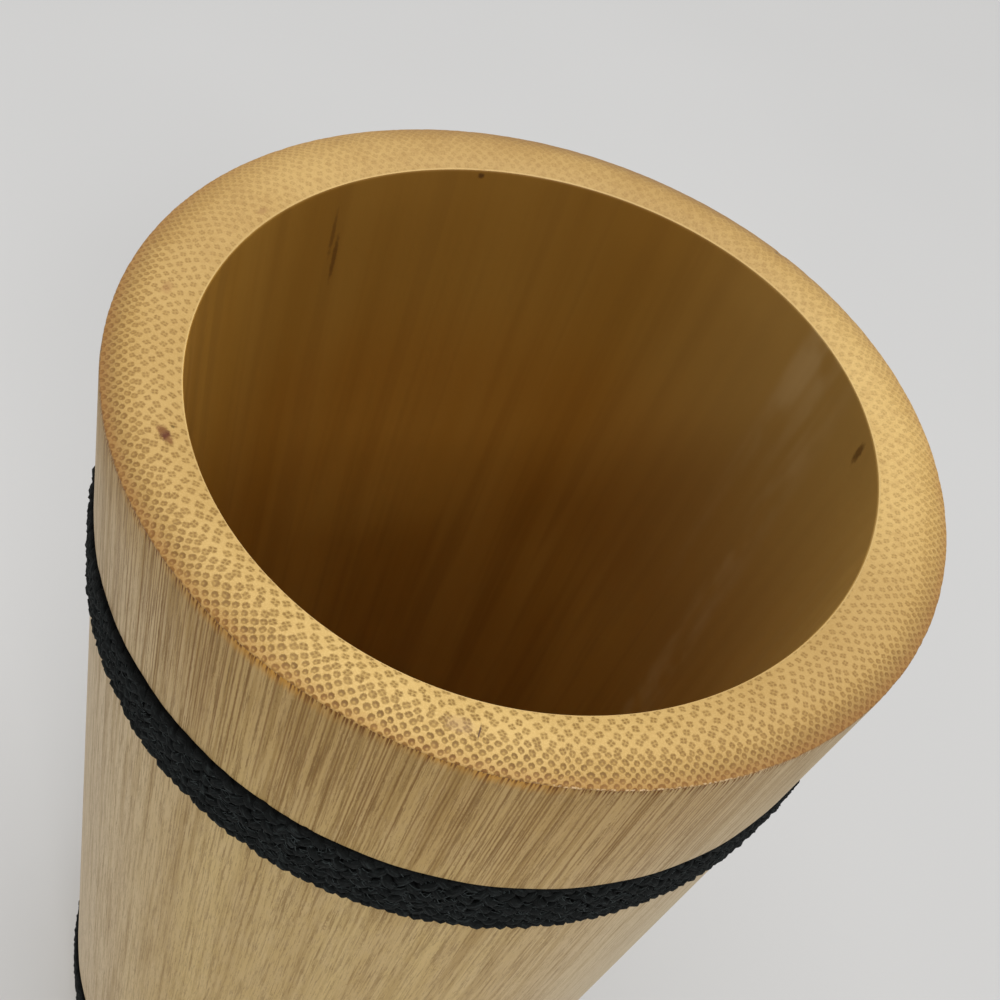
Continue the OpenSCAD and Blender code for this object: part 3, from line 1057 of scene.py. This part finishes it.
def room():
    """Soft even light from all round, with the pale backdrop where the camera looks past the floor."""
    f = Finish(bpy.data.worlds.new("room"))
    light = f.node("ShaderNodeBackground", None, {"Color": ROOM_LIGHT, "Strength": ROOM_STRENGTH})
    behind = f.node("ShaderNodeBackground", None, {"Color": BACKDROP})
    seen = f.node("ShaderNodeLightPath", output="Is Camera Ray")
    both = f.node("ShaderNodeMixShader", None, {0: seen, 1: light, 2: behind})
    f.node("ShaderNodeOutputWorld", None, {"Surface": both}, output=None)
    return f.owner


def make_stage():
    reach = FLOOR_REACH
    corners = [(-reach, -reach, 0), (reach, -reach, 0), (reach, reach, 0), (-reach, reach, 0)]
    mesh = bpy.data.meshes.new("floor")
    mesh.from_pydata(corners, [], [(0, 1, 2, 3)])
    mesh.materials.append(pale_floor())
    floor = bpy.data.objects.new("floor", mesh)
    bpy.context.scene.collection.objects.link(floor)
    bpy.context.scene.world = room()


def soft_light(name, place, aim, size, watts):
    lamp = bpy.data.lights.new(name, "AREA")
    lamp.shape = "RECTANGLE"
    lamp.size, lamp.size_y = size
    lamp.energy = watts
    piece = bpy.data.objects.new(name, lamp)
    piece.location = place
    piece.rotation_euler = (Vector(aim) - Vector(place)).to_track_quat("-Z", "Y").to_euler()
    bpy.context.scene.collection.objects.link(piece)


def make_lights():
    """A broad lamp overhead and a smaller one at the front right, in metres and watts."""
    above = (0.0, 0.0, 0.2)
    soft_light("ceiling", (0.0, 0.25, 2.0), above, (1.8, 1.8), 22.0)
    soft_light("window", (0.84, -1.46, 1.61), above, (0.5, 0.5), 9.0)


# Camera solved from the photograph, in rim radii from the middle of the rim, and in radians
CAMERA_BACK = 2.11956
CAMERA_UP = 2.03069
CAMERA_YAW = -0.007375
CAMERA_PITCH = 0.85631
CAMERA_ROLL = 0.410743
CAMERA_FOCUS = 1.245408  # focal length in picture widths
SENSOR_W = 36.0


def make_camera():
    level = math.cos(CAMERA_PITCH)
    ahead = Vector((math.sin(CAMERA_YAW) * level, math.cos(CAMERA_YAW) * level, -math.sin(CAMERA_PITCH)))
    right = ahead.cross(Vector((0, 0, 1))).normalized()
    up = right.cross(ahead)
    c, s = math.cos(CAMERA_ROLL), math.sin(CAMERA_ROLL)
    right, up = right * c + up * s, up * c - right * s
    lens = bpy.data.cameras.new("camera")
    lens.sensor_width = SENSOR_W
    lens.lens = CAMERA_FOCUS * SENSOR_W
    lens.clip_start = 0.005
    eye = bpy.data.objects.new("camera", lens)
    radius = RIM_R * MM
    eye.matrix_world = Matrix(((right.x, up.x, -ahead.x, 0.0),
                               (right.y, up.y, -ahead.y, -CAMERA_BACK * radius),
                               (right.z, up.z, -ahead.z, ARRIS_Z * MM + CAMERA_UP * radius),
                               (0, 0, 0, 1)))
    bpy.context.scene.collection.objects.link(eye)
    bpy.context.scene.camera = eye


def place_cord(name, node, groove_z, yarn, seed):
    cord = make_cord(name, groove_z, yarn, seed)
    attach(cord, "root")
    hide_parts(node)


def build():
    make_camera()
    culm = make_culm([planed_side(), end_grain(), lacquered_hollow(), sawn_foot()])
    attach(culm, "root")
    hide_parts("culm")
    yarn = cord_yarn()
    place_cord("upper_cord_braid", "upper_cord", HIGH_Z, yarn, UPPER_CORD_SEED)
    place_cord("lower_cord_braid", "lower_cord", LOW_Z, yarn, LOWER_CORD_SEED)
    make_stage()
    make_lights()
    bpy.context.scene.view_settings.view_transform = "Standard"


build()
